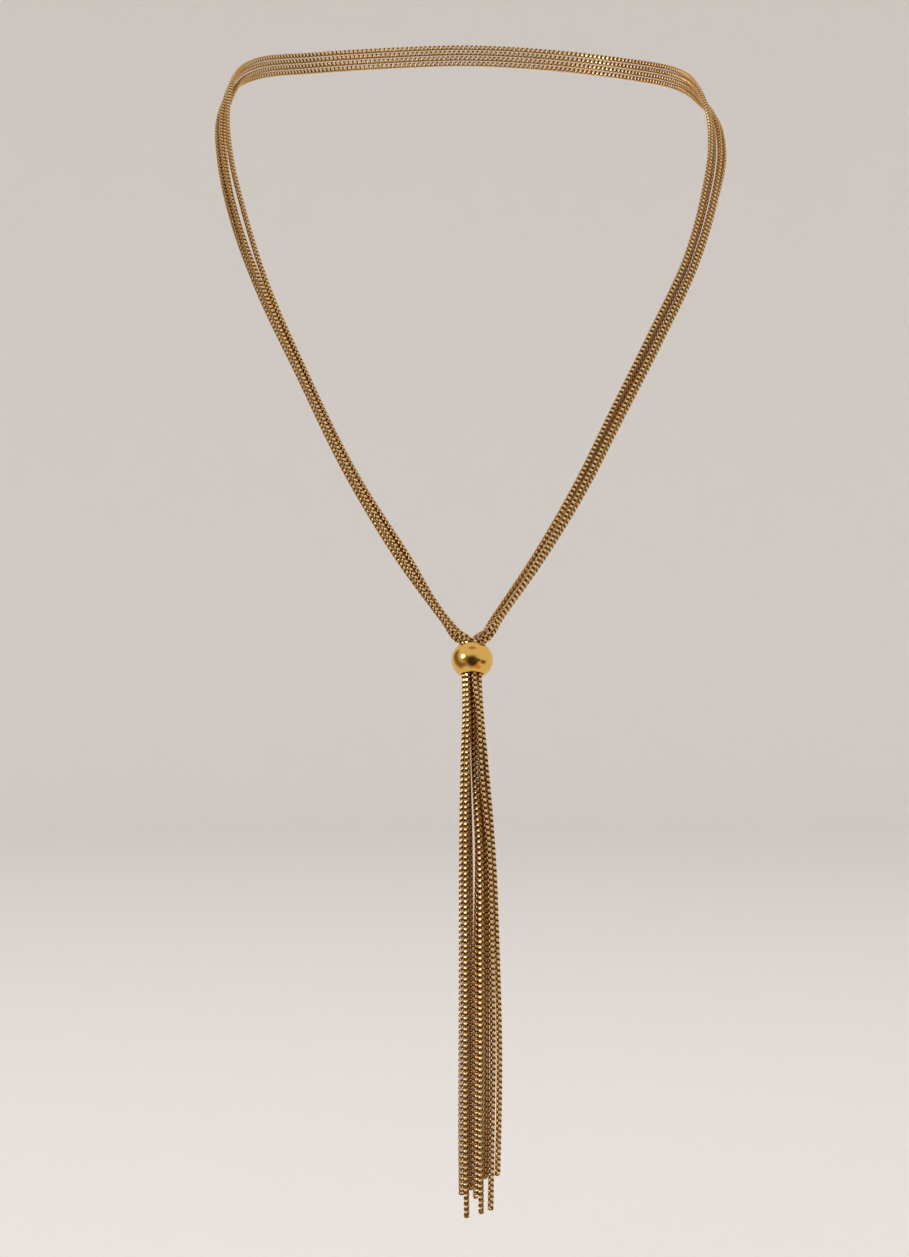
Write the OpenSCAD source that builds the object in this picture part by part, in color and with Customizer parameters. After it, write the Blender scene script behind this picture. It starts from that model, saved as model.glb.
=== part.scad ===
// Tassel necklace: four fine box chains go round the neck and down through one slider ball,
// below which their eight cut ends hang as a tassel. It keeps the form that it has when worn.
// The nape is at the origin: X to the wearer's left, -Y to the front, Z up. Millimetres.

/* [Chains] */
// Width of each box chain, from flat to flat
chain_w = 1.3; // [1:0.05:1.5]
// Clear gap between chains that lie side by side
chain_gap = 0.15; // [0.1:0.01:0.25]

/* [Slider] */
// Diameter of the slider ball round its middle
ball_d = 10; // [9:0.1:13]
// Radius of the ball's side, seen in section
side_round = 4.5; // [4:0.1:6]
// Rounding of the rim at both ends of its bore
rim_round = 0.4; // [0.2:0.05:0.6]
// Clear gap between the chains and the wall of the bore
bore_clear = 0.2; // [0.1:0.05:0.5]
// Lean of the ball in degrees, its top towards the wearer
ball_lean = 14; // [8:1:20]

/* [Tassel] */
// Drop of the longest chain end below the middle of the ball
tassel_drop = 130.5; // [110:1:160]

/* [Hidden] */

// Chains side by side lie one lay apart
lay = chain_w + chain_gap;
// A chain's plain form is a bar of eight sides
sides = 8;
chain_corner_r = chain_w / 2 / cos(180 / sides);
// Longest stretch of chain that is drawn straight
ring_step = 6.5;

// Places of the eight chain ends in the bore, across it and towards the front, in lays: seven in a
// ring round one in the middle, counted in steps round from the wearer's right by the back
bore_ring = 0.53 / sin(180 / 7);
BORE_STEP = [0, 1, 6, undef, 2, 3, 5, 4];
BORE = [for (step = BORE_STEP)
    step == undef ? [0, 0] : -bore_ring * [cos(step * 360 / 7), sin(step * 360 / 7)]];
bore_r = lay * bore_ring + chain_corner_r + bore_clear;
rim_r = bore_r + rim_round;
side_r = ball_d / 2 - side_round;
rim_h = sqrt(pow(side_round - rim_round, 2) - pow(rim_r - side_r, 2));

// Middle of the ball, the way its bore points up and the way its face looks
BALL = [0, -150, -168];
ball_up = [0, sin(ball_lean), cos(ball_lean)];
ball_front = [0, -cos(ball_lean), sin(ball_lean)];
// The chains run straight in the bore as far as this above the ball's middle
bore_run = rim_h - 1.05;

// Left side of the loop, from the slider up to the nape. A row has the place of the middle of the
// four chains, the way they face in degrees round from straight ahead, then for each chain, the
// outermost first, how far it lies towards the neck and how far off the skin, in lays.
LEFT = [
    [[-6.4, -145.2, -158.5], 5, [-0.36, 0.1, -0.15, 0.36], [-0.53, -1.58, 1.59, 0.46]],
    [[-16.2, -137, -144], 8, [-0.79, 0.05, -0.08, 0.79], [-0.03, -0.78, 0.89, 0.1]],
    [[-28.7, -126, -124], 10, [-0.65, -0.05, 0.05, 0.65], [0.1, -0.85, 0.9, 0]],
    [[-42.7, -110.5, -96], 15, [-0.65, 0, 0, 0.7], [0, -0.85, 0.85, 0.05]],
    [[-53, -97.5, -73.5], 20, [-0.95, -0.3, -0.05, 1], [0.1, -0.7, 0.7, 0.1]],
    [[-59.6, -85, -54.5], 25, [-1.25, -0.75, -0.2, 1.25], [0.3, -0.6, 0.45, 0]],
    [[-63.5, -73, -39], 32, [-1.25, -0.7, -0.2, 1.2], [0.3, -0.6, 0.4, 0]],
    [[-65, -61, -26], 36, [-1.25, -0.7, -0.15, 1.1], [0.1, -0.85, 0.25, 0]],
    [[-63.4, -48, -15.5], 66, [-1.4, -0.55, 0.2, 1.3], [0, -0.7, 0.15, 0]],
    [[-58, -30, -8.5], 112, [-1.5, -0.5, 0.5, 1.55], [0, -0.3, 0.1, 0]],
    [[-43.5, -10.5, -3.8], 142, [-1.55, -0.52, 0.52, 1.55], [0, 0, 0, 0]],
    [[-22.5, -1.3, -1], 165, [-1.55, -0.52, 0.52, 1.55], [0, 0, 0, 0]],
];
NAPE = [[0, 0.7, 0], 180, [-1.55, -0.52, 0.52, 1.55], [0, 0, 0, 0]];
// Right side of the loop, in the same way
RIGHT = [
    [[5.95, -145.2, -158.5], 5, [-0.33, 0.14, -0.37, 0.52], [0.42, 1.59, -0.67, -1.68]],
    [[15.8, -136.7, -144], 8, [-0.57, 0.01, -0.42, 0.66], [0.31, 1.24, -0.99, -0.63]],
    [[26.2, -127, -126.5], 10, [-0.9, -0.15, 0.14, 0.88], [0.01, 0.75, -0.54, 0.19]],
    [[35.2, -117, -109], 12, [-1, -0.3, 0.25, 1.05], [0, 0.75, -0.3, 0.35]],
    [[45.8, -105.5, -88], 15, [-1.2, -0.4, 0.4, 1.2], [0, 0.65, 0, 0.65]],
    [[55.8, -92.5, -67], 20, [-1.27, -0.43, 0.42, 1.27], [0, 0.6, 0, 0.6]],
    [[61.4, -80.5, -50], 24, [-1.3, -0.43, 0.55, 1.55], [0, 0.55, 0, 0.4]],
    [[64.3, -69, -35.7], 26, [-1.55, -0.4, 0.62, 1.67], [0, 0.3, -0.2, 0.2]],
    [[63.9, -59.5, -26.3], 38, [-1.5, -0.45, 0.65, 1.67], [0, 0.2, -0.1, 0.2]],
    [[61.2, -48.5, -18.8], 66, [-1.5, -0.48, 0.58, 1.62], [0, 0.1, 0, 0]],
    [[56.5, -30, -11.3], 112, [-1.55, -0.52, 0.52, 1.55], [0, 0, 0, 0]],
    [[42.5, -10.5, -5.3], 142, [-1.55, -0.52, 0.52, 1.55], [0, 0, 0, 0]],
    [[22, -1.3, -1.5], 165, [-1.55, -0.52, 0.52, 1.55], [0, 0, 0, 0]],
];
// The tassel, downwards. A row has the drop below the ball as a share of the whole, the middle's
// place across and to the front, then for each of the eight ends how far it lies to the wearer's
// left and to the front of that, in lays. The last row is where the ends are cut.
TASSEL = [
    [0.1, 0.15, -155, [-1.26, -1.06, -0.72, 0.13, 0.01, 1.16, 0.85, 1.34], [-0.08, -1.28, 1.07, 0.3, -1.22, -1.02, 1.21, 0.14]],
    [0.18, 0.3, -158, [-1.64, -0.97, -1.03, 0.11, 0.04, 1.12, 1.06, 1.89], [0.1, -0.76, 1.02, 0.09, -1.22, -0.79, 0.68, 0]],
    [0.34, 1.2, -161, [-2.51, -1.22, -1.81, 0.43, 0.01, 1.09, 1.76, 2.45], [-0.12, -0.25, 0.69, 0.73, -0.32, -0.31, 0.63, -0.38]],
    [0.52, 1.6, -162, [-2.85, -1.35, -2.05, 0.3, -0.48, 1.05, 1.93, 2.85], [-0.15, -0.33, 0.5, 1, 0.26, 0.1, 0.7, 0.1]],
    [0.7, 1.8, -162.5, [-3.05, -1.4, -2.2, 0.2, -0.6, 1.05, 2.05, 3.1], [-0.1, -0.35, 0.55, 1, 0.35, 0, 0.55, 0.3]],
    [0.88, 1.7, -162.5, [-3.02, -1.45, -2.18, 0.2, -0.65, 1, 1.9, 2.97], [-0.15, -0.35, 0.55, 1, 0.35, -0.05, 0.55, 0.3]],
    [1, 1.7, -162.5, [-2.95, -1.4, -2.1, 0.25, -0.65, 0.9, 1.75, 2.85], [-0.15, -0.35, 0.55, 1, 0.35, -0.05, 0.55, 0.3]],
];
// Drop at which each of the eight ends is cut, as a share of the longest
CUT = [0.962, 0.954, 1, 0.992, 0.966, 0.931, 0.989, 0.927];
// The two ends of each of the four chains, among the eight
ENDS = [[0, 7], [1, 6], [2, 5], [3, 4]];

function unit(v) = v / norm(v);
function xyz(p) = [p[0], p[1], p[2]];
function reversed(list) = [for (i = [len(list) - 1:-1:0]) list[i]];
// Way that the skin faces, in degrees round from straight ahead by the right
function facing(a) = [-sin(a), -cos(a), 0];

// Where the four chains of one side, -1 or 1, come out over the ball's rim, and where they part above it
function lip(side, across, off) = [
    BALL + [side * (bore_r - 1.2), 0, 0] + 0.1 * ball_front + (rim_h + 1.28) * ball_up, 0, across, off];
function crown(side, across, off) = [
    BALL + [side * (bore_r + 0.76), 0, 0] + (rim_h + 2.56) * ball_up, 0, across, off];
LEFT_LIP = lip(-1, [-0.49, -0.01, 0.26, 0.65], [0, -1, 0.95, -0.11]);
RIGHT_LIP = lip(1, [-0.32, 0.72, -0.4, 0.41], [0.53, 0.99, -0.51, -1.53]);
LEFT_CROWN = crown(-1, [-0.43, 0.02, 0.12, 0.69], [-0.29, -1.35, 1.26, 0.01]);
RIGHT_CROWN = crown(1, [-0.31, 0.6, -0.34, 0.6], [0.58, 1.24, -0.74, -1.58]);
function mouth(side) = [BALL + [side, 0, 0] + bore_run * ball_up, 0];
function onward(rows) = [for (r = reversed(rows)) [r[0], 360 - r[1], r[2], r[3]]];

// The loop's rows in order, from the slider over the left, the nape and the right to the slider
LOOP = concat([mouth(-1), LEFT_LIP, LEFT_CROWN], LEFT, [NAPE], onward(concat([mouth(1), RIGHT_LIP, RIGHT_CROWN], RIGHT)));

// Place of chain k at row i of the loop, with its facing as a fourth number
function on_loop(i, k) = let (
    along = unit(LOOP[i + 1][0] - LOOP[i - 1][0]),
    flat = facing(LOOP[i][1]),
    off = unit(flat - along * (flat * along)),
    across = cross(along, off)
) concat(LOOP[i][0] + lay * (LOOP[i][2][k] * across + LOOP[i][3][k] * off), LOOP[i][1]);

// Place of chain end e in the bore, at a height along it
function in_bore(e, height, turn) = concat(
    BALL + lay * (BORE[e][0] * [1, 0, 0] + BORE[e][1] * ball_front) + height * ball_up, turn);
function in_tassel(e, row, share, turn) =
    [row[1] + lay * row[3][e], row[2] - lay * row[4][e], BALL[2] - share * tassel_drop, turn];

// Chain end e from where it is cut up to the top of the bore
function tassel_end(e, turn) = concat(
    [in_tassel(e, TASSEL[len(TASSEL) - 1], CUT[e], turn)],
    [for (i = [len(TASSEL) - 2:-1:0]) in_tassel(e, TASSEL[i], TASSEL[i][0], turn)],
    [for (height = [-rim_h - 0.3, 0, bore_run]) in_bore(e, height, turn)]
);
function route(k) = concat(
    tassel_end(ENDS[k][0], 0),
    [for (i = [1:len(LOOP) - 2]) on_loop(i, k)],
    reversed(tassel_end(ENDS[k][1], 360))
);

// Smooth curve through a route: its slope at a point leans to the shorter stretch beside it
function span(p, i) = norm(xyz(p[i + 1]) - xyz(p[i]));
function slope(p, i) =
    i == 0 ? (p[1] - p[0]) / span(p, 0) :
    i == len(p) - 1 ? (p[i] - p[i - 1]) / span(p, i - 1) :
    let (before = span(p, i - 1), after = span(p, i))
    ((p[i] - p[i - 1]) * after / before + (p[i + 1] - p[i]) * before / after) / (before + after);
function between(p, i, t) = let (d = span(p, i), s = t * t * (3 - 2 * t))
    (1 - s) * p[i] + s * p[i + 1] + d * t * (1 - t) * ((1 - t) * slope(p, i) - t * slope(p, i + 1));
// Every chain has its rings at the same shares of each stretch, so that neighbours stay clear
STEPS = let (p = route(0)) [for (i = [0:len(p) - 2]) max(span(p, i) > 1.5 ? 3 : 1, ceil(span(p, i) / ring_step))];
function smooth(p) = concat(
    [for (i = [0:len(p) - 2]) for (j = [0:STEPS[i] - 1]) between(p, i, j / STEPS[i])],
    [p[len(p) - 1]]
);

function ring(p, i) = let (
    along = unit(xyz(p[min(i + 1, len(p) - 1)]) - xyz(p[max(i - 1, 0)])),
    flat = facing(p[i][3]),
    off = unit(flat - along * (flat * along)),
    across = cross(along, off)
) [for (m = [0:sides - 1]) let (a = (m + 0.5) * 360 / sides)
    xyz(p[i]) + chain_corner_r * (cos(a) * across + sin(a) * off)];

module bar(p) {
    last = len(p) - 1;
    points = [for (i = [0:last]) each ring(p, i)];
    walls = [for (i = [0:last - 1]) for (m = [0:sides - 1])
        let (a = i * sides + m, b = i * sides + (m + 1) % sides)
        each [[a, b, a + sides], [b, b + sides, a + sides]]];
    polyhedron(points, concat(
        [[for (m = [sides - 1:-1:0]) m]],
        walls,
        [[for (m = [0:sides - 1]) last * sides + m]]
    ));
}

// Section of the ball's wall: a round side, cut off by the bore, with a rounded rim at both ends
module ball_section() {
    reach = ball_d;
    rim = [rim_r, rim_h];
    outward = unit(rim - [side_r, 0]);
    difference() {
        translate([side_r, 0]) circle(side_round, $fn = 96);
        translate([bore_r - 2 * reach, -reach]) square(2 * reach);
        for (end = [1, -1]) scale([1, end]) polygon([
            rim, [bore_r - 1, rim_h], [bore_r - 1, rim_h + reach], rim + reach * outward + [0, reach],
            rim + reach * outward]);
    }
    for (end = [1, -1]) translate([rim_r, end * rim_h]) circle(rim_round, $fn = 48);
}

module slider_ball() {
    color([0.86, 0.62, 0.22])
    translate(BALL) rotate([-ball_lean, 0, 0]) rotate_extrude($fn = 96) ball_section();
}

module chain(k) {
    color([0.8, 0.62, 0.34])
    bar(smooth(route(k)));
}

slider_ball();
chain(0);  // chain_1
chain(1);  // chain_2
chain(2);  // chain_3
chain(3);  // chain_4
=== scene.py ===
import math
import bpy
import numpy as np
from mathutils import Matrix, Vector


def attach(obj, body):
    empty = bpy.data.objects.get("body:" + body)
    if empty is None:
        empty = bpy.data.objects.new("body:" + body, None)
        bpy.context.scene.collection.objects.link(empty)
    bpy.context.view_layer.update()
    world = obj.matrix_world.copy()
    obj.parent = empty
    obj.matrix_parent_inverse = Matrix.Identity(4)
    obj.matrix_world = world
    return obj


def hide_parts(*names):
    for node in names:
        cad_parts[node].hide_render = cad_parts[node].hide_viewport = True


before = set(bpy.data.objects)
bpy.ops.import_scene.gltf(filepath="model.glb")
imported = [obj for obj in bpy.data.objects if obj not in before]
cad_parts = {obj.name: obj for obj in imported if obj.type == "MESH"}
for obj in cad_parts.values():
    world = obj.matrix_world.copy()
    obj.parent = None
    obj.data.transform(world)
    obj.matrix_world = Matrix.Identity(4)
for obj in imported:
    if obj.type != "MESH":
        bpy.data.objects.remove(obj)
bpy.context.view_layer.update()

# The slider ball: a solid ball of gold-plated brass, turned with rounded sides, drilled through for
# the chains and polished to a mirror. The chains' own springiness holds it where it is pushed to.
# It leans back with them, its top towards the wearer.

# Sizes of the necklace are in millimetres
MM = 0.001
BALL = np.array([0, -150, -168.0])
BALL_LEAN = math.radians(14)
BALL_UP = np.array([0, math.sin(BALL_LEAN), math.cos(BALL_LEAN)])
BALL_FRONT = np.array([0, -math.cos(BALL_LEAN), math.sin(BALL_LEAN)])
BALL_R = 5.0
SIDE_ROUND = 4.5
RIM_ROUND = 0.4
BORE_R = 2.675
# The side is turned round a point SIDE_R from the axis, and each rim round one RIM_R from it and
# RIM_H above or below the middle
SIDE_R = BALL_R - SIDE_ROUND
RIM_R = BORE_R + RIM_ROUND
RIM_H = math.sqrt((SIDE_ROUND - RIM_ROUND) ** 2 - (RIM_R - SIDE_R) ** 2)
# Rows of the ball's mesh along its bore, round each rim and down its side, and steps round it
BORE_ROWS = 9
RIM_ROWS = 10
SIDE_ROWS = 56
TURN_STEPS = 144


def mesh_object(name, points, faces, marks=None, normals=None):
    """Smooth mesh from points in millimetres and four-sided faces.

    Each mark holds a number for each point. Where normals are given, one for each point, the
    surface is shaded by them.
    """
    mesh = bpy.data.meshes.new(name)
    faces = np.asarray(faces, np.int32)
    mesh.vertices.add(len(points))
    mesh.vertices.foreach_set("co", (np.asarray(points) * MM).astype(np.float32).ravel())
    mesh.loops.add(faces.size)
    mesh.loops.foreach_set("vertex_index", faces.ravel())
    mesh.polygons.add(len(faces))
    mesh.polygons.foreach_set("loop_start", np.arange(0, faces.size, 4, dtype=np.int32))
    mesh.update(calc_edges=True)
    for mark, values in (marks or {}).items():
        data = mesh.attributes.new(mark, "FLOAT", "POINT").data
        data.foreach_set("value", np.asarray(values, np.float32))
    mesh.validate()
    mesh.shade_smooth()
    if normals is not None:
        mesh.normals_split_custom_set_from_vertices(normals)
    obj = bpy.data.objects.new(name, mesh)
    bpy.context.scene.collection.objects.link(obj)
    return obj


def tube_faces(rings, per_ring, closed):
    """Faces between rings of points, each of them joined round on itself."""
    i, j = np.meshgrid(np.arange(rings if closed else rings - 1), np.arange(per_ring), indexing="ij")
    up, on = (i + 1) % rings, (j + 1) % per_ring
    corners = [i * per_ring + j, up * per_ring + j, up * per_ring + on, i * per_ring + on]
    return np.stack(corners, -1).reshape(-1, 4)


def turned_ball():
    """Points and faces of the ball, and a mark that is 1 in its bore and 0 elsewhere."""
    def arc(middle, height, radius, start, end, rows):
        return [(middle + radius * math.cos(a), height + radius * math.sin(a))
                for a in np.linspace(start, end, rows)]

    lean = math.atan2(RIM_H, RIM_R - SIDE_R)
    section = [(BORE_R, h) for h in np.linspace(-RIM_H, RIM_H, BORE_ROWS)[1:-1]]
    section += arc(RIM_R, RIM_H, RIM_ROUND, math.pi, lean, RIM_ROWS)
    section += arc(SIDE_R, 0, SIDE_ROUND, lean, -lean, SIDE_ROWS)[1:-1]
    section += arc(RIM_R, -RIM_H, RIM_ROUND, -lean, -math.pi, RIM_ROWS)
    section = np.array(section)
    turn = np.linspace(0, 2 * math.pi, TURN_STEPS, endpoint=False)
    radial = np.cos(turn)[:, None] * [1.0, 0, 0] + np.sin(turn)[:, None] * BALL_FRONT
    points = BALL + section[None, :, :1] * radial[:, None, :] + section[None, :, 1:] * BALL_UP
    inside = np.tile((section[:, 0] < BORE_R + 0.02).astype(float), len(turn))
    return points.reshape(-1, 3), tube_faces(len(turn), len(section), True), inside


def wear_group():
    """Marks of handling on polished metal: fine scratches, cloudy patches, and a height for both."""
    group = bpy.data.node_groups.new("handling marks", "ShaderNodeTree")
    number = "NodeSocketFloat"
    for name, start in (("Size", 1000.0), ("Scratches", 0.3)):
        group.interface.new_socket(name, in_out="INPUT", socket_type=number).default_value = start
    for name in ("Cloud", "Scratch", "Height"):
        group.interface.new_socket(name, in_out="OUTPUT", socket_type=number)
    new, link = group.nodes.new, group.links.new
    given, out = new("NodeGroupInput"), new("NodeGroupOutput")
    place = new("ShaderNodeTexCoord")
    cloud = new("ShaderNodeTexNoise")
    cloud.inputs["Detail"].default_value = 3
    link(place.outputs["Object"], cloud.inputs["Vector"])
    link(given.outputs["Size"], cloud.inputs["Scale"])
    link(cloud.outputs["Fac"], out.inputs["Cloud"])
    stretch = new("ShaderNodeMapping")
    stretch.inputs["Rotation"].default_value = (0.4, 0.9, 0.2)
    stretch.inputs["Scale"].default_value = (9, 0.7, 4)
    link(place.outputs["Object"], stretch.inputs["Vector"])
    fine = new("ShaderNodeTexNoise")
    fine.inputs["Detail"].default_value = 2
    link(stretch.outputs["Vector"], fine.inputs["Vector"])
    link(given.outputs["Size"], fine.inputs["Scale"])
    narrow = new("ShaderNodeMapRange")
    narrow.interpolation_type = "SMOOTHSTEP"
    narrow.inputs["From Min"].default_value = 0.56
    narrow.inputs["From Max"].default_value = 0.70
    link(fine.outputs["Fac"], narrow.inputs["Value"])
    part = new("ShaderNodeMath")
    part.operation = "MULTIPLY"
    link(narrow.outputs["Result"], part.inputs[0])
    link(given.outputs["Scratches"], part.inputs[1])
    link(part.outputs["Value"], out.inputs["Scratch"])
    height = new("ShaderNodeMath")
    height.operation = "SUBTRACT"
    link(cloud.outputs["Fac"], height.inputs[0])
    link(part.outputs["Value"], height.inputs[1])
    link(height.outputs["Value"], out.inputs["Height"])
    return group


HANDLING = wear_group()


def ball_gold():
    """Yellow gold plate with a mirror polish, duller in the bore, and browner there with painted
    shade.
    """
    material = bpy.data.materials.new("ball gold")
    material.use_nodes = True
    tree = material.node_tree
    new, link = tree.nodes.new, tree.links.new
    shader = tree.nodes["Principled BSDF"]
    shader.inputs["Metallic"].default_value = 1
    wear = new("ShaderNodeGroup")
    wear.node_tree = HANDLING
    wear.inputs["Size"].default_value = 420
    wear.inputs["Scratches"].default_value = 0.35
    inside = new("ShaderNodeAttribute")
    inside.attribute_name = "bore"
    tint = new("ShaderNodeMix")
    tint.data_type = "RGBA"
    tint.inputs["A"].default_value = (0.93, 0.54, 0.125, 1)
    tint.inputs["B"].default_value = (0.96, 0.59, 0.155, 1)
    link(wear.outputs["Cloud"], tint.inputs["Factor"])
    # Painted shade: the bore's colour is darkened to brown.
    bore_shade = new("ShaderNodeMix")
    bore_shade.data_type = "RGBA"
    bore_shade.inputs["B"].default_value = (0.42, 0.20, 0.05, 1)
    link(inside.outputs["Fac"], bore_shade.inputs["Factor"])
    link(tint.outputs["Result"], bore_shade.inputs["A"])
    link(bore_shade.outputs["Result"], shader.inputs["Base Color"])
    rough = new("ShaderNodeMapRange")
    rough.inputs["To Min"].default_value = 0.07
    rough.inputs["To Max"].default_value = 0.13
    link(wear.outputs["Cloud"], rough.inputs["Value"])
    haze = new("ShaderNodeMath")
    haze.operation = "MULTIPLY_ADD"
    haze.inputs[1].default_value = 0.12
    link(wear.outputs["Scratch"], haze.inputs[0])
    link(rough.outputs["Result"], haze.inputs[2])
    dull = new("ShaderNodeMath")
    dull.operation = "MULTIPLY_ADD"
    dull.inputs[1].default_value = 0.3
    link(inside.outputs["Fac"], dull.inputs[0])
    link(haze.outputs["Value"], dull.inputs[2])
    link(dull.outputs["Value"], shader.inputs["Roughness"])
    bump = new("ShaderNodeBump")
    bump.inputs["Strength"].default_value = 0.06
    bump.inputs["Distance"].default_value = 0.00006
    link(wear.outputs["Height"], bump.inputs["Height"])
    link(bump.outputs["Normal"], shader.inputs["Normal"])
    return material


points, faces, inside = turned_ball()
ball = mesh_object("slider_ball_polished", points, faces, {"bore": inside})
ball.data.materials.append(ball_gold())
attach(ball, "root")
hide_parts("slider_ball")

# The four box chains: each link is a short flat strip of gold-plated brass, bent to a square ring
# and closed in the next one, which is turned a quarter round. A chain goes up from its cut end
# through the ball, round the neck and down through the ball again. The eight ends are the tassel.

# Width of a chain, and how far apart two lie side by side, which is one lay
CHAIN_W = 1.3
LAY = 1.45
# Length that each link adds, then its strip's thickness, width, outer corner radius and edge
PITCH = 0.65
STRIP_T = 0.22
STRIP_B = 0.84
CORNER = 0.38
EDGE = 0.09
# Places of the eight chain ends in the bore, in lays: seven in a ring round one in the middle,
# and for each end its step round the ring
BORE_RING = 0.53 / math.sin(math.pi / 7)
BORE_STEP = [0, 1, 6, None, 2, 3, 5, 4]
BORE = [(0, 0) if step is None else
        (-BORE_RING * math.cos(step * math.tau / 7), -BORE_RING * math.sin(step * math.tau / 7))
        for step in BORE_STEP]
# How far the chains run straight above and below the middle of the ball
BORE_RUN = RIM_H - 1.05
BORE_FOOT = -RIM_H - 0.3
# Where they come over the rim and part: to the side of the bore's wall and above the rim
LIP_SIDE, LIP_FRONT, LIP_UP = -1.2, 0.1, 1.28
CROWN_SIDE, CROWN_UP = 0.76, 2.56
# One side of the loop from the slider up: the middle's place, the way the chains face in degrees,
# then how far each chain lies towards the neck and off the skin, in lays
LEFT = [
    ((-6.4, -145.2, -158.5), 5, (-0.36, 0.1, -0.15, 0.36), (-0.53, -1.58, 1.59, 0.46)),
    ((-16.2, -137, -144), 8, (-0.79, 0.05, -0.08, 0.79), (-0.03, -0.78, 0.89, 0.1)),
    ((-28.7, -126, -124), 10, (-0.65, -0.05, 0.05, 0.65), (0.1, -0.85, 0.9, 0)),
    ((-42.7, -110.5, -96), 15, (-0.65, 0, 0, 0.7), (0, -0.85, 0.85, 0.05)),
    ((-53, -97.5, -73.5), 20, (-0.95, -0.3, -0.05, 1), (0.1, -0.7, 0.7, 0.1)),
    ((-59.6, -85, -54.5), 25, (-1.25, -0.75, -0.2, 1.25), (0.3, -0.6, 0.45, 0)),
    ((-63.5, -73, -39), 32, (-1.25, -0.7, -0.2, 1.2), (0.3, -0.6, 0.4, 0)),
    ((-65, -61, -26), 36, (-1.25, -0.7, -0.15, 1.1), (0.1, -0.85, 0.25, 0)),
    ((-63.4, -48, -15.5), 66, (-1.4, -0.55, 0.2, 1.3), (0, -0.7, 0.15, 0)),
    ((-58, -30, -8.5), 112, (-1.5, -0.5, 0.5, 1.55), (0, -0.3, 0.1, 0)),
    ((-43.5, -10.5, -3.8), 142, (-1.55, -0.52, 0.52, 1.55), (0, 0, 0, 0)),
    ((-22.5, -1.3, -1), 165, (-1.55, -0.52, 0.52, 1.55), (0, 0, 0, 0)),
]
NAPE = ((0, 0.7, 0), 180, (-1.55, -0.52, 0.52, 1.55), (0, 0, 0, 0))
RIGHT = [
    ((5.95, -145.2, -158.5), 5, (-0.33, 0.14, -0.37, 0.52), (0.42, 1.59, -0.67, -1.68)),
    ((15.8, -136.7, -144), 8, (-0.57, 0.01, -0.42, 0.66), (0.31, 1.24, -0.99, -0.63)),
    ((26.2, -127, -126.5), 10, (-0.9, -0.15, 0.14, 0.88), (0.01, 0.75, -0.54, 0.19)),
    ((35.2, -117, -109), 12, (-1, -0.3, 0.25, 1.05), (0, 0.75, -0.3, 0.35)),
    ((45.8, -105.5, -88), 15, (-1.2, -0.4, 0.4, 1.2), (0, 0.65, 0, 0.65)),
    ((55.8, -92.5, -67), 20, (-1.27, -0.43, 0.42, 1.27), (0, 0.6, 0, 0.6)),
    ((61.4, -80.5, -50), 24, (-1.3, -0.43, 0.55, 1.55), (0, 0.55, 0, 0.4)),
    ((64.3, -69, -35.7), 26, (-1.55, -0.4, 0.62, 1.67), (0, 0.3, -0.2, 0.2)),
    ((63.9, -59.5, -26.3), 38, (-1.5, -0.45, 0.65, 1.67), (0, 0.2, -0.1, 0.2)),
    ((61.2, -48.5, -18.8), 66, (-1.5, -0.48, 0.58, 1.62), (0, 0.1, 0, 0)),
    ((56.5, -30, -11.3), 112, (-1.55, -0.52, 0.52, 1.55), (0, 0, 0, 0)),
    ((42.5, -10.5, -5.3), 142, (-1.55, -0.52, 0.52, 1.55), (0, 0, 0, 0)),
    ((22, -1.3, -1.5), 165, (-1.55, -0.52, 0.52, 1.55), (0, 0, 0, 0)),
]
# The tassel downwards: its drop as a share of the whole, the middle across and to the front, then
# how far each of the eight ends lies across and to the front of that, in lays
TASSEL_DROP = 130.5
TASSEL = [
    (0.1, 0.15, -155, (-1.26, -1.06, -0.72, 0.13, 0.01, 1.16, 0.85, 1.34),
     (-0.08, -1.28, 1.07, 0.3, -1.22, -1.02, 1.21, 0.14)),
    (0.18, 0.3, -158, (-1.64, -0.97, -1.03, 0.11, 0.04, 1.12, 1.06, 1.89),
     (0.1, -0.76, 1.02, 0.09, -1.22, -0.79, 0.68, 0)),
    (0.34, 1.2, -161, (-2.51, -1.22, -1.81, 0.43, 0.01, 1.09, 1.76, 2.45),
     (-0.12, -0.25, 0.69, 0.73, -0.32, -0.31, 0.63, -0.38)),
    (0.52, 1.6, -162, (-2.85, -1.35, -2.05, 0.3, -0.48, 1.05, 1.93, 2.85),
     (-0.15, -0.33, 0.5, 1, 0.26, 0.1, 0.7, 0.1)),
    (0.7, 1.8, -162.5, (-3.05, -1.4, -2.2, 0.2, -0.6, 1.05, 2.05, 3.1),
     (-0.1, -0.35, 0.55, 1, 0.35, 0, 0.55, 0.3)),
    (0.88, 1.7, -162.5, (-3.02, -1.45, -2.18, 0.2, -0.65, 1, 1.9, 2.97),
     (-0.15, -0.35, 0.55, 1, 0.35, -0.05, 0.55, 0.3)),
    (1, 1.7, -162.5, (-2.95, -1.4, -2.1, 0.25, -0.65, 0.9, 1.75, 2.85),
     (-0.15, -0.35, 0.55, 1, 0.35, -0.05, 0.55, 0.3)),
]
# Drop at which each end is cut, as a share of the whole, and the two ends of each chain
CUT = [0.962, 0.954, 1, 0.992, 0.966, 0.931, 0.989, 0.927]
ENDS = [(0, 7), (1, 6), (2, 5), (3, 4)]
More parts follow.
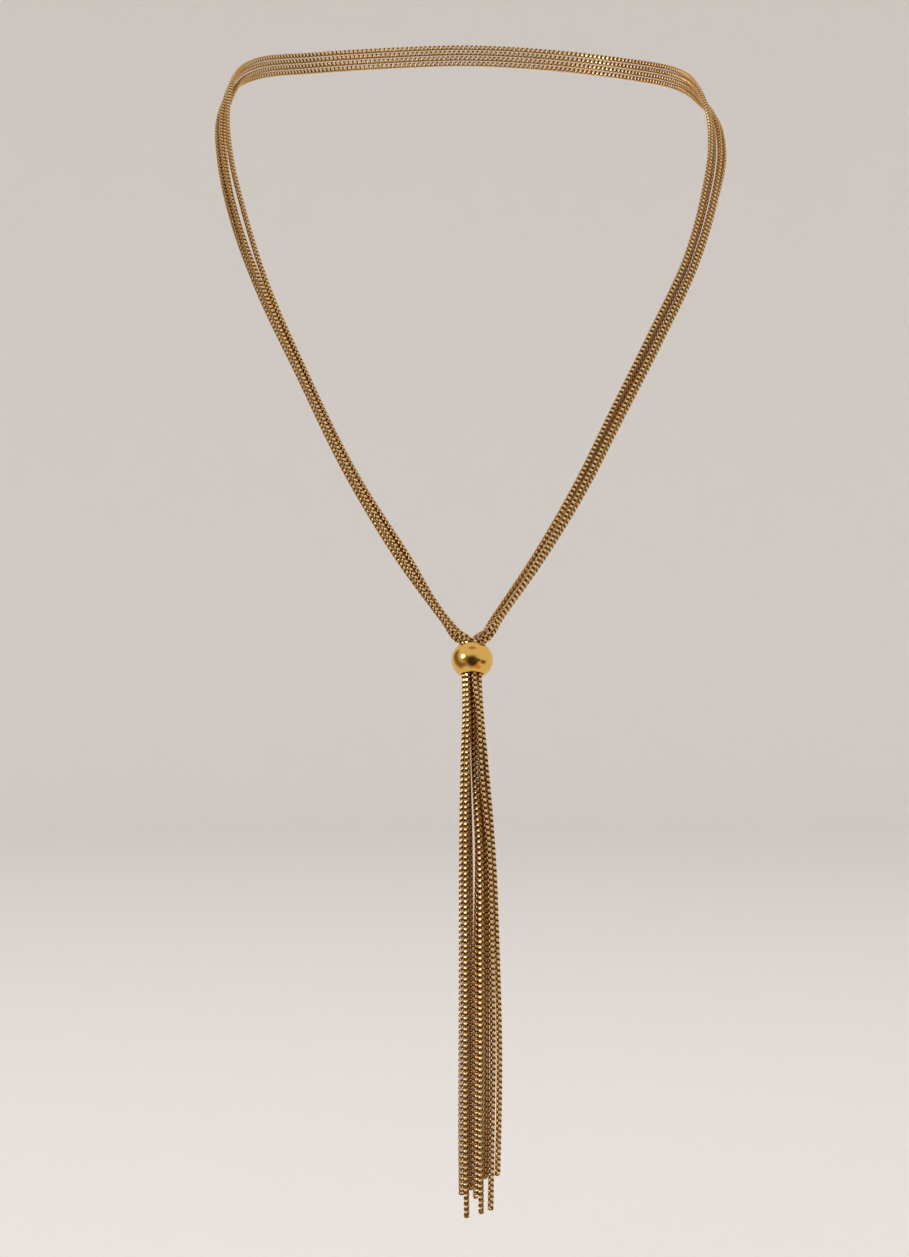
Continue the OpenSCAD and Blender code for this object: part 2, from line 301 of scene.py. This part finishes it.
# How far the links are rolled and how far they lean in their neighbours, in degrees, at even
# steps from one cut end to the other
ROLL = [(-8, 32, 20, 15, 8, 15, 24, 30, 30), (30, 34, 28, 15, 8, 15, -18, 30, 32),
        (9, 26, 34, 20, 10, 18, 34, 32, 30), (12, 30, 24, 15, 8, 15, -16, 30, 14)]
LEAN = [(-34, -20, 4, 2, 0, 3, 5, 4, 6), (8, 6, 5, 3, 0, 2, 6, 6, 8),
        (34, 20, -7, 2, 0, 4, 6, 12, 16), (20, 14, 4, 2, 0, 3, -5, -10, -14)]
# How far the hanging links are tipped, their faces up, in degrees: none down to TIP_START below
# the ball's middle, all from TIP_OVER further down
TIP = 24
TIP_START = 6
TIP_OVER = 12


def unit(v):
    return v / np.linalg.norm(v, axis=-1, keepdims=True)


def facing(degrees):
    """The way that the skin faces, in degrees round from straight ahead by the wearer's right."""
    a = np.radians(degrees)
    return np.stack([-np.sin(a), -np.cos(a), np.zeros_like(a)], -1)


def framed(along, degrees):
    """The ways off the skin and across the band, square to the chain."""
    flat = facing(np.asarray(degrees, float))
    off = unit(flat - along * np.sum(flat * along, -1, keepdims=True))
    return off, np.cross(along, off)


def loop_rows():
    """All rows of the loop, from the ball's rim round by the wearer's right and back to the rim."""
    def lip(side, across, off):
        place = BALL + [side * (BORE_R + LIP_SIDE), 0, 0] + LIP_FRONT * BALL_FRONT
        return (place + (RIM_H + LIP_UP) * BALL_UP, 0, across, off)

    def crown(side, across, off):
        place = BALL + [side * (BORE_R + CROWN_SIDE), 0, 0]
        return (place + (RIM_H + CROWN_UP) * BALL_UP, 0, across, off)

    def onward(rows):
        return [(p, 360 - turn, across, off) for p, turn, across, off in reversed(rows)]

    def mouth(side, turn):
        return (BALL + [side, 0, 0] + BORE_RUN * BALL_UP, turn, None, None)

    left = [lip(-1, (-0.49, -0.01, 0.26, 0.65), (0, -1, 0.95, -0.11)),
            crown(-1, (-0.43, 0.02, 0.12, 0.69), (-0.29, -1.35, 1.26, 0.01))] + LEFT
    right = [lip(1, (-0.32, 0.72, -0.4, 0.41), (0.53, 0.99, -0.51, -1.53)),
             crown(1, (-0.31, 0.6, -0.34, 0.6), (0.58, 1.24, -0.74, -1.58))] + RIGHT
    return [mouth(-1, 0)] + left + [NAPE] + onward(right) + [mouth(1, 360)]


def route(k):
    """Points that chain k goes through, each with its facing."""
    def tassel_end(e, turn):
        def hang(row, share):
            x, y = row[1] + LAY * row[3][e], row[2] - LAY * row[4][e]
            return [x, y, BALL[2] - share * TASSEL_DROP, turn]

        def in_bore(h):
            place = BORE[e][0] * np.array([1.0, 0, 0]) + BORE[e][1] * BALL_FRONT
            return [*(BALL + LAY * place + h * BALL_UP), turn]

        return ([hang(TASSEL[-1], CUT[e])] + [hang(row, row[0]) for row in reversed(TASSEL[:-1])]
                + [in_bore(h) for h in (BORE_FOOT, 0, BORE_RUN)])

    rows = loop_rows()
    around = []
    for i in range(1, len(rows) - 1):
        place, turn, across_by, off_by = rows[i]
        off, across = framed(unit(np.array(rows[i + 1][0]) - np.array(rows[i - 1][0])), turn)
        around.append([*(np.array(place) + LAY * (across_by[k] * across + off_by[k] * off)), turn])
    return np.array(tassel_end(ENDS[k][0], 0) + around + tassel_end(ENDS[k][1], 360)[::-1], float)


def smooth(p, steps=40):
    """Smooth curve through the points, whose slope at each leans to the shorter stretch beside it."""
    d = np.linalg.norm(np.diff(p[:, :3], axis=0), axis=1)[:, None]
    s = np.diff(p, axis=0) / d
    m = np.concatenate([s[:1], (s[:-1] * d[1:] + s[1:] * d[:-1]) / (d[:-1] + d[1:]), s[-1:]])
    t = (np.arange(steps) / steps)[None, :, None]
    a, b, ma, mb, d = p[:-1, None], p[1:, None], m[:-1, None], m[1:, None], d[:, None]
    e = t * t * (3 - 2 * t)
    fine = (1 - e) * a + e * b + d * t * (1 - t) * ((1 - t) * ma - t * mb)
    return np.concatenate([fine.reshape(-1, 4), p[-1:]])


# How deep each corner of the strip's section lies, which sets its painted shade, its roughness and its
# coat, the same for the bends of the ring, and the way that each corner of the section is shaded:
# outwards, then along the hole
SECTION_DEPTH = (0, 0.4, 1, 1, 0.4, 0)
BEND_DEPTH = 0.9
SECTION_SHADE = ((1, -0.12), (0.5, -1), (-0.6, -1), (-0.6, 1), (0.5, 1), (1, 0.12))


def strip_link():
    """One link: a flat strip bent to a square ring with round corners, holed along its second axis."""
    half_w, half_l = (CHAIN_W - STRIP_T) / 2, (PITCH + STRIP_T) / 2
    r = CORNER - STRIP_T / 2
    ring = []
    for n, (cx, cz) in enumerate(((1, 1), (-1, 1), (-1, -1), (1, -1))):
        for a in (0, 45, 90):
            out = np.array([math.cos(math.radians(a + 90 * n)), math.sin(math.radians(a + 90 * n))])
            ring.append((np.array([cx * (half_w - r), cz * (half_l - r)]) + r * out, out))
    t, b = STRIP_T / 2, STRIP_B / 2
    section = [(t, -b + EDGE), (t - EDGE, -b), (-t, -b), (-t, b), (t - EDGE, b), (t, b - EDGE)]
    points = np.array([[at[0] + x * out[0], y, at[1] + x * out[1]]
                       for at, out in ring for x, y in section])
    depth = np.array([max(d, BEND_DEPTH * out[1] ** 2) for _, out in ring for d in SECTION_DEPTH])
    normals = np.array([[x * out[0], y, x * out[1]] for _, out in ring for x, y in SECTION_SHADE])
    return points, unit(normals), tube_faces(len(ring), len(section), True), depth


# Sway and chance in the roll and the lean of the links, in degrees, and waves of sway on a chain
ROLL_SWAY, ROLL_CHANCE, ROLL_WAVES = 2, 0.6, 61
LEAN_SWAY, LEAN_CHANCE, LEAN_WAVES = 1, 0.5, 97


def box_chain(k):
    """Points, faces, marks and normals of all the links of chain k.

    The marks are the depth of each point in its link and a tone for each link.
    """
    fine = smooth(route(k))
    run = np.concatenate([[0], np.cumsum(np.linalg.norm(np.diff(fine[:, :3], axis=0), axis=1))])
    count = int((run[-1] - STRIP_T) / PITCH)
    at = (run[-1] - (count - 1) * PITCH) / 2 + PITCH * np.arange(count)

    def along_at(s):
        return np.stack([np.interp(s, run, fine[:, c]) for c in range(4)], 1)

    here = along_at(at)
    along = unit(along_at(at + 0.5)[:, :3] - along_at(at - 0.5)[:, :3])
    off, across = framed(along, here[:, 3])
    chance = np.random.default_rng(20 + k)
    share = at / run[-1]

    def angle(table, sway, waves, spread):
        steps = np.linspace(0, 1, len(table[k]))
        return (np.interp(share, steps, table[k]) + sway * np.sin(share * waves + k)
                + chance.normal(0, spread, count))

    roll = np.radians(angle(ROLL, ROLL_SWAY, ROLL_WAVES, ROLL_CHANCE) + 90 * (np.arange(count) % 2))
    lean = np.radians(angle(LEAN, LEAN_SWAY, LEAN_WAVES, LEAN_CHANCE))
    hanging = np.clip((BALL[2] - TIP_START - here[:, 2]) / TIP_OVER, 0, 1)
    tip = np.radians(TIP) * hanging * np.where(share < 0.5, 1, -1)
    off, along = (np.cos(tip)[:, None] * off + np.sin(tip)[:, None] * along,
                  np.cos(tip)[:, None] * along - np.sin(tip)[:, None] * off)
    ring_way = np.cos(roll)[:, None] * across + np.sin(roll)[:, None] * off
    hole_way = -np.sin(roll)[:, None] * across + np.cos(roll)[:, None] * off
    hole_leant = np.cos(lean)[:, None] * hole_way + np.sin(lean)[:, None] * along
    long_leant = -np.sin(lean)[:, None] * hole_way + np.cos(lean)[:, None] * along
    link, link_normals, link_faces, depth = strip_link()

    def turned(v):
        return (v[None, :, :1] * ring_way[:, None] + v[None, :, 1:2] * hole_leant[:, None]
                + v[None, :, 2:] * long_leant[:, None])

    points = here[:, None, :3] + turned(link)
    # A link's three ways are left-handed, so its faces go round the other way
    faces = link_faces[None, :, ::-1] + (len(link) * np.arange(count))[:, None, None]
    marks = {"depth": np.tile(depth, count), "tone": np.repeat(chance.random(count), len(link))}
    return points.reshape(-1, 3), faces.reshape(-1, 4), marks, turned(link_normals).reshape(-1, 3)


def chain_gold():
    """Paler gold plate, burnished on the links' faces, with painted shade that darkens the holes to
    brown.
    """
    material = bpy.data.materials.new("chain gold")
    material.use_nodes = True
    tree = material.node_tree
    new, link = tree.nodes.new, tree.links.new
    shader = tree.nodes["Principled BSDF"]
    shader.inputs["Metallic"].default_value = 1
    shader.inputs["Specular Tint"].default_value = (1.0, 0.76, 0.42, 1)
    shader.inputs["Coat Roughness"].default_value = 0.20
    wear = new("ShaderNodeGroup")
    wear.node_tree = HANDLING
    wear.inputs["Size"].default_value = 1500
    wear.inputs["Scratches"].default_value = 0.5
    tone = new("ShaderNodeAttribute")
    tone.attribute_name = "tone"
    depth = new("ShaderNodeAttribute")
    depth.attribute_name = "depth"
    plate = new("ShaderNodeMix")
    plate.data_type = "RGBA"
    plate.inputs["A"].default_value = (0.97, 0.64, 0.29, 1)
    plate.inputs["B"].default_value = (0.99, 0.71, 0.37, 1)
    link(tone.outputs["Fac"], plate.inputs["Factor"])
    # Painted shade: the deeper parts of each link, in its hole and inside its neighbours, are darkened
    # to brown.
    recess_shade = new("ShaderNodeMix")
    recess_shade.data_type = "RGBA"
    recess_shade.inputs["B"].default_value = (0.24, 0.095, 0.015, 1)
    link(depth.outputs["Fac"], recess_shade.inputs["Factor"])
    link(plate.outputs["Result"], recess_shade.inputs["A"])
    link(recess_shade.outputs["Result"], shader.inputs["Base Color"])
    rough = new("ShaderNodeMapRange")
    rough.inputs["To Min"].default_value = 0.17
    rough.inputs["To Max"].default_value = 0.28
    link(wear.outputs["Cloud"], rough.inputs["Value"])
    haze = new("ShaderNodeMath")
    haze.operation = "MULTIPLY_ADD"
    haze.inputs[1].default_value = 0.2
    link(depth.outputs["Fac"], haze.inputs[0])
    link(rough.outputs["Result"], haze.inputs[2])
    link(haze.outputs["Value"], shader.inputs["Roughness"])
    polish = new("ShaderNodeMapRange")
    polish.inputs["To Min"].default_value = 0.3
    polish.inputs["To Max"].default_value = 0
    link(depth.outputs["Fac"], polish.inputs["Value"])
    link(polish.outputs["Result"], shader.inputs["Coat Weight"])
    bump = new("ShaderNodeBump")
    bump.inputs["Strength"].default_value = 0.15
    bump.inputs["Distance"].default_value = 0.00002
    link(wear.outputs["Height"], bump.inputs["Height"])
    link(bump.outputs["Normal"], shader.inputs["Normal"])
    return material


gold = chain_gold()
for k in range(4):
    points, faces, marks, normals = box_chain(k)
    chain = mesh_object(f"box_chain_{k + 1}", points, faces, marks, normals)
    chain.data.materials.append(gold)
    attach(chain, "root")
    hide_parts(f"chain_{k + 1}")

# The studio: a pale matt floor that curves up all round into a pale wall, open at the top. The
# necklace hangs free above it, held at the nape.

# Sizes of the studio are in metres, with steps of its mesh over the floor, up and round
FLOOR_Z = -0.335
FLOOR_R = 2.1
SWEEP_R = 0.9
WALL_TOP = 2.4
FLOOR_ROWS = 7
SWEEP_ROWS = 19
WALL_ROWS = 5
ROUND_STEPS = 96


def studio_sweep():
    profile = [(0.001, FLOOR_Z)] + [(r, FLOOR_Z) for r in np.linspace(0.3, FLOOR_R, FLOOR_ROWS)]
    profile += [(FLOOR_R + SWEEP_R * math.sin(a), FLOOR_Z + SWEEP_R * (1 - math.cos(a)))
                for a in np.linspace(0, math.pi / 2, SWEEP_ROWS)[1:]]
    profile += [(FLOOR_R + SWEEP_R, h)
                for h in np.linspace(FLOOR_Z + SWEEP_R + 0.3, WALL_TOP, WALL_ROWS)]
    profile = np.array(profile)
    turn = np.linspace(0, 2 * math.pi, ROUND_STEPS, endpoint=False)
    points = np.stack([profile[:, None, 0] * np.cos(turn), profile[:, None, 0] * np.sin(turn),
                       np.repeat(profile[:, 1:], len(turn), axis=1)], -1)
    return points.reshape(-1, 3) / MM, tube_faces(len(profile), len(turn), False)


points, faces = studio_sweep()
sweep = mesh_object("studio_sweep", points, faces)
paper = bpy.data.materials.new("pale matt paper")
paper.use_nodes = True
matt = paper.node_tree.nodes["Principled BSDF"]
matt.inputs["Base Color"].default_value = (0.80, 0.775, 0.755, 1)
matt.inputs["Roughness"].default_value = 0.95
matt.inputs["Specular IOR Level"].default_value = 0.1
sweep.data.materials.append(paper)
sweep.visible_glossy = False

# The light: a soft window from the upper left front, whose light falls on the metal alone, two wide
# lamps overhead and a pale room all round, dark where it is unlit in front of the necklace.
AIM = (0.0, -0.12, -0.16)


def soft_box(name, azimuth, height, distance, size, watts, colour):
    """A round light at an angle from the front, positive to the right, and a height, in degrees."""
    lamp = bpy.data.lights.new(name, "AREA")
    lamp.shape = "DISK"
    lamp.size = size
    lamp.energy = watts
    lamp.color = colour
    obj = bpy.data.objects.new(name, lamp)
    a, e = math.radians(azimuth), math.radians(height)
    way = np.array([math.sin(a) * math.cos(e), -math.cos(a) * math.cos(e), math.sin(e)])
    obj.location = np.array(AIM) + distance * way
    obj.rotation_euler = Vector(-way).to_track_quat("-Z", "Y").to_euler()
    bpy.context.scene.collection.objects.link(obj)
    return obj


soft_box("window", -54, 18, 1.3, 0.45, 4.8, (1.0, 0.98, 0.96)).visible_diffuse = False
for lamp in (soft_box("fill", -30, 50, 2.3, 1.6, 16, (1.0, 0.99, 0.98)),
             soft_box("ceiling", 0, 85, 1.9, 1.6, 6, (1.0, 0.99, 0.98))):
    lamp.visible_glossy = False


# What the polished metal shows of the room, the later over the earlier: the middle of each part, its
# reach, how soft its edge is and its colour
ROOM_COLOUR = (0.66, 0.635, 0.61, 1)
ROOM_PARTS = [
    ((-0.40, -0.91, 0.05), (0.50, 0.70, 0.32), 0.50, (0.24, 0.22, 0.17, 1)),
    ((-0.70, -0.55, -0.44), (0.30, 0.34, 0.20), 0.60, (0.27, 0.20, 0.13, 1)),
    ((0.02, -0.95, -0.16), (0.54, 0.90, 0.58), 0.42, (0.055, 0.037, 0.024, 1)),
    ((0.47, -0.85, -0.04), (0.34, 0.40, 0.13), 0.50, (0.10, 0.07, 0.045, 1)),
    ((0.48, -0.58, -0.66), (0.24, 0.30, 0.16), 0.50, (0.62, 0.26, 0.10, 1)),
    ((0.86, -0.42, -0.20), (0.26, 0.32, 0.17), 0.50, (0.16, 0.12, 0.08, 1)),
    ((-0.88, 0.32, 0.30), (0.26, 0.30, 0.34), 0.55, (0.20, 0.15, 0.11, 1)),
    ((-0.94, 0.08, -0.06), (0.26, 0.30, 0.34), 0.55, (0.20, 0.15, 0.11, 1)),
    ((-0.88, -0.20, -0.40), (0.26, 0.30, 0.34), 0.55, (0.20, 0.15, 0.11, 1)),
    ((0.0, -0.22, 0.97), (0.28, 0.20, 0.12), 0.50, (0.36, 0.26, 0.16, 1)),
]


def room_light():
    """A plain pale room for the paper, and the same with its unlit parts for the metal."""
    world = bpy.data.worlds.new("pale room")
    bpy.context.scene.world = world
    world.use_nodes = True
    tree = world.node_tree
    new, link = tree.nodes.new, tree.links.new
    light = tree.nodes["Background"]
    way = new("ShaderNodeTexCoord").outputs["Generated"]

    def patch(middle, reach, soft):
        """Mask of an oval part of the room, round a direction, with its reach along each axis."""
        shift = new("ShaderNodeVectorMath")
        shift.operation = "SUBTRACT"
        link(way, shift.inputs[0])
        shift.inputs[1].default_value = middle
        scale = new("ShaderNodeVectorMath")
        scale.operation = "DIVIDE"
        link(shift.outputs["Vector"], scale.inputs[0])
        scale.inputs[1].default_value = reach
        length = new("ShaderNodeVectorMath")
        length.operation = "LENGTH"
        link(scale.outputs["Vector"], length.inputs[0])
        edge = new("ShaderNodeMapRange")
        edge.interpolation_type = "SMOOTHSTEP"
        link(length.outputs["Value"], edge.inputs["Value"])
        edge.inputs["From Min"].default_value = 1 + soft
        edge.inputs["From Max"].default_value = 1 - soft
        return edge.outputs["Result"]

    colour = None
    for middle, reach, soft, shade in ROOM_PARTS:
        mix = new("ShaderNodeMix")
        mix.data_type = "RGBA"
        link(patch(middle, reach, soft), mix.inputs["Factor"])
        if colour is None:
            mix.inputs["A"].default_value = ROOM_COLOUR
        else:
            link(colour, mix.inputs["A"])
        mix.inputs["B"].default_value = shade
        colour = mix.outputs["Result"]
    seen = new("ShaderNodeLightPath")
    plain = new("ShaderNodeMix")
    plain.data_type = "RGBA"
    link(seen.outputs["Is Glossy Ray"], plain.inputs["Factor"])
    plain.inputs["A"].default_value = (0.86, 0.84, 0.82, 1)
    link(colour, plain.inputs["B"])
    link(plain.outputs["Result"], light.inputs["Color"])


room_light()
bpy.context.scene.view_settings.view_transform = "Standard"

# The camera: level, a metre in front of the nape and a little to the wearer's right, with a long
# lens, so that the whole necklace shows from the nape to the ends of its tassel.
eye = bpy.data.cameras.new("camera")
eye.lens = 102.24
eye.sensor_width = 36
eye.clip_start = 0.05
camera = bpy.data.objects.new("camera", eye)
camera.location = (-0.0042, -1.0, -0.1605)
camera.rotation_euler = (math.radians(90), 0, 0)
bpy.context.scene.collection.objects.link(camera)
bpy.context.scene.camera = camera
